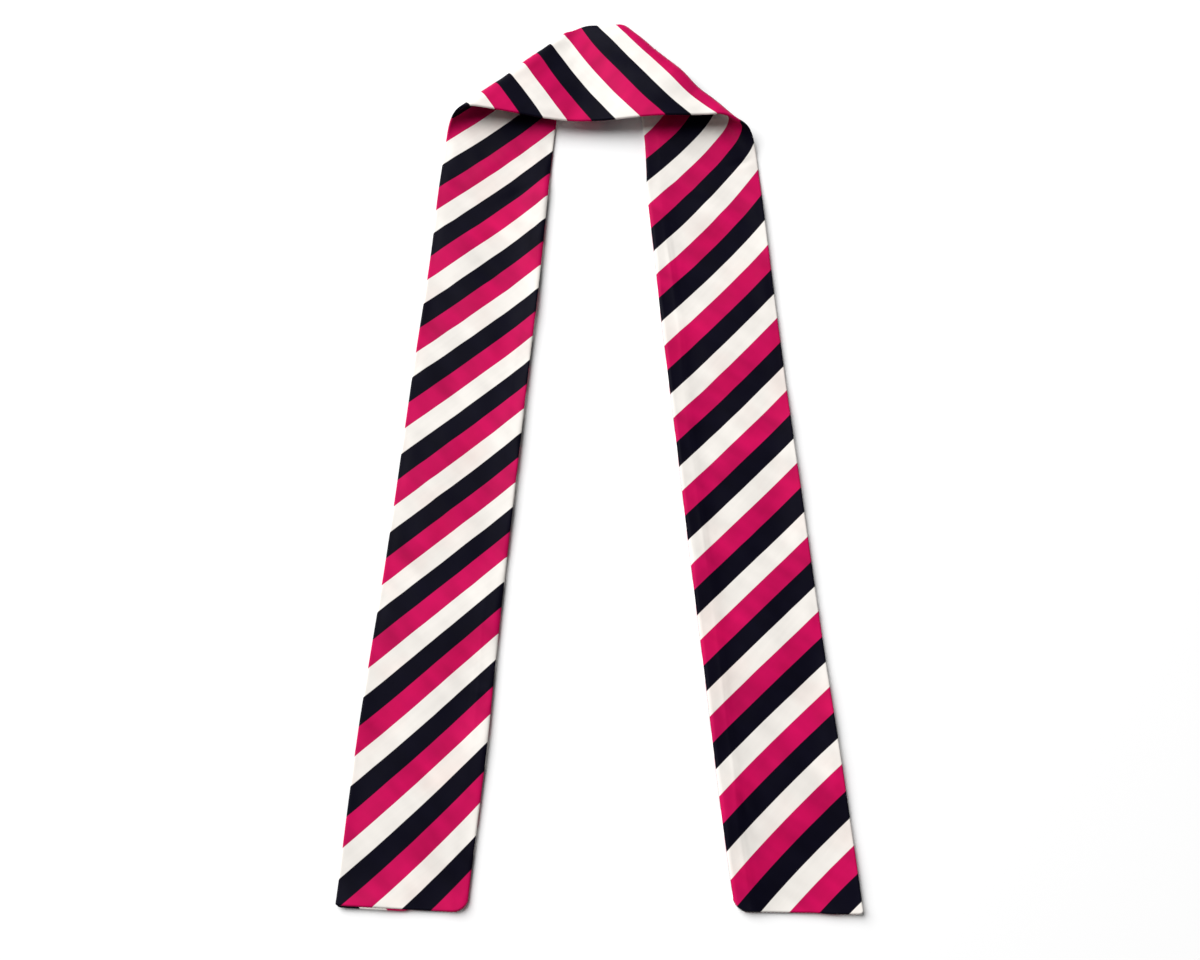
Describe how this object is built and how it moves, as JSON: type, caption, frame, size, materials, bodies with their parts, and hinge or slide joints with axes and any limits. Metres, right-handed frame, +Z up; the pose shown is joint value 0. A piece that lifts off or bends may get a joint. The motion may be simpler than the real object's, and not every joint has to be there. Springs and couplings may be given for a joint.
{
  "type": "striped satin scarf",
  "caption": "Long narrow two-layer satin scarf with diagonal magenta, navy and ivory stripes, laid flat in a U with the neck band folded over at both corners.",
  "frame": {"origin": "centre of the bounding box in plan, on the surface the scarf lies on", "axes": "+Y from the hems toward the neck band, +Z up off the surface, +X to the right tail"},
  "size_m": [0.3608, 0.6952, 0.0247],
  "materials": {
    "striped_satin": "satin"
  },
  "bodies": {
    "root": {"left_tail": "striped_satin", "neck_band": "striped_satin", "right_tail": "striped_satin"}
  },
  "joints": []
}
